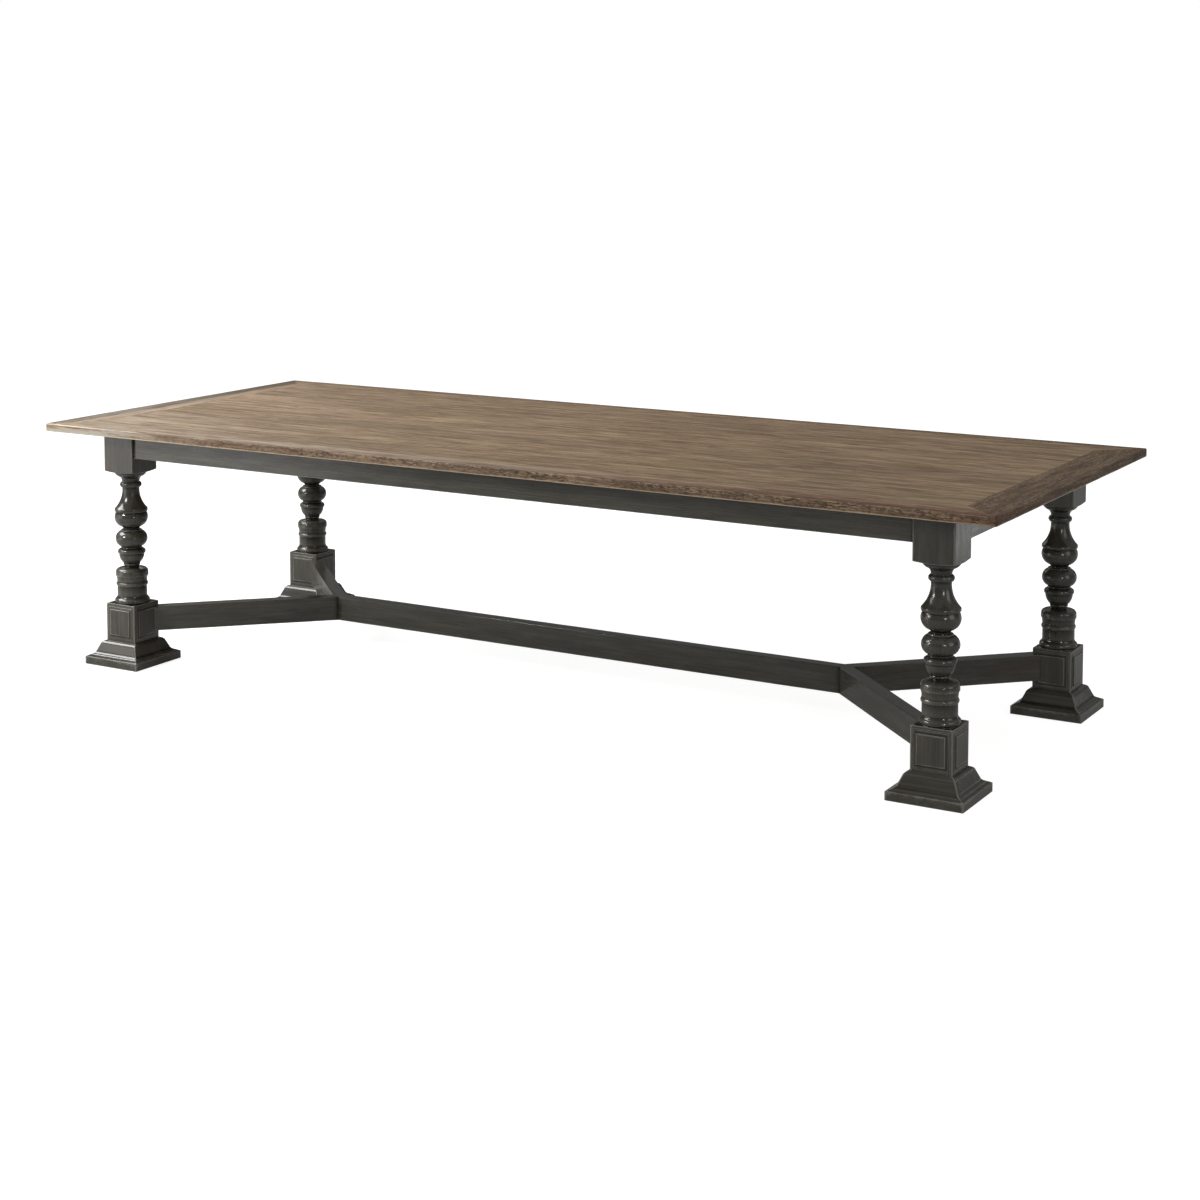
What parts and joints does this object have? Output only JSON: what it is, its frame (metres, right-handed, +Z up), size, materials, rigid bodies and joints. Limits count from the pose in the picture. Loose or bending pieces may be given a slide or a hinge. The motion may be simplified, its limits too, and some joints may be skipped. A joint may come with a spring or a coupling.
{
  "type": "dining table",
  "caption": "Long refectory dining table: weathered plank top with mitred border, dark turned legs on moulded plinths, forked stretcher.",
  "frame": {"origin": "on the floor, under the middle of the top", "axes": "+X along the table, +Y across it away from the front, +Z up"},
  "size_m": [3.1, 1.256, 0.762],
  "materials": {
    "oak_top": "weathered grey brown oak, waxed, matt",
    "painted_base": "charcoal paint with a soft sheen, rubbed through at edges",
    "inner_wood": "bare wood, sanded",
    "steel": "zinc plated",
    "nylon": "matt"
  },
  "bodies": {
    "root": {"apron_back": "painted_base", "apron_front": "painted_base", "apron_left": "painted_base", "apron_right": "painted_base", "block_panels_back_left": "painted_base", "block_panels_back_right": "painted_base", "block_panels_front_left": "painted_base", "block_panels_front_right": "painted_base", "brace_nuts": "steel", "brace_washers": "steel", "corner_brace_back_left": "inner_wood", "corner_brace_back_right": "inner_wood", "corner_brace_front_left": "inner_wood", "corner_brace_front_right": "inner_wood", "cross_rail_left": "inner_wood", "cross_rail_middle": "inner_wood", "cross_rail_right": "inner_wood", "floor_glides": "nylon", "foot_slab_back_left": "painted_base", "foot_slab_back_right": "painted_base", "foot_slab_front_left": "painted_base", "foot_slab_front_right": "painted_base", "hanger_bolts": "steel", "leg_back_left": "painted_base", "leg_back_right": "painted_base", "leg_front_left": "painted_base", "leg_front_right": "painted_base", "plinth_back_left": "painted_base", "plinth_back_right": "painted_base", "plinth_front_left": "painted_base", "plinth_front_right": "painted_base", "stretcher_arm_back_left": "painted_base", "stretcher_arm_back_right": "painted_base", "stretcher_arm_front_left": "painted_base", "stretcher_arm_front_right": "painted_base", "stretcher_beam": "painted_base", "stretcher_dowels": "inner_wood", "top_buttons": "inner_wood", "top_end_board_left": "oak_top", "top_end_board_right": "oak_top", "top_end_tongues": "inner_wood", "top_mitre_splines": "inner_wood", "top_plank_1": "oak_top", "top_plank_2": "oak_top", "top_plank_3": "oak_top", "top_plank_4": "oak_top", "top_seam_tongues": "inner_wood", "top_side_board_back": "oak_top", "top_side_board_front": "oak_top"}
  },
  "joints": []
}
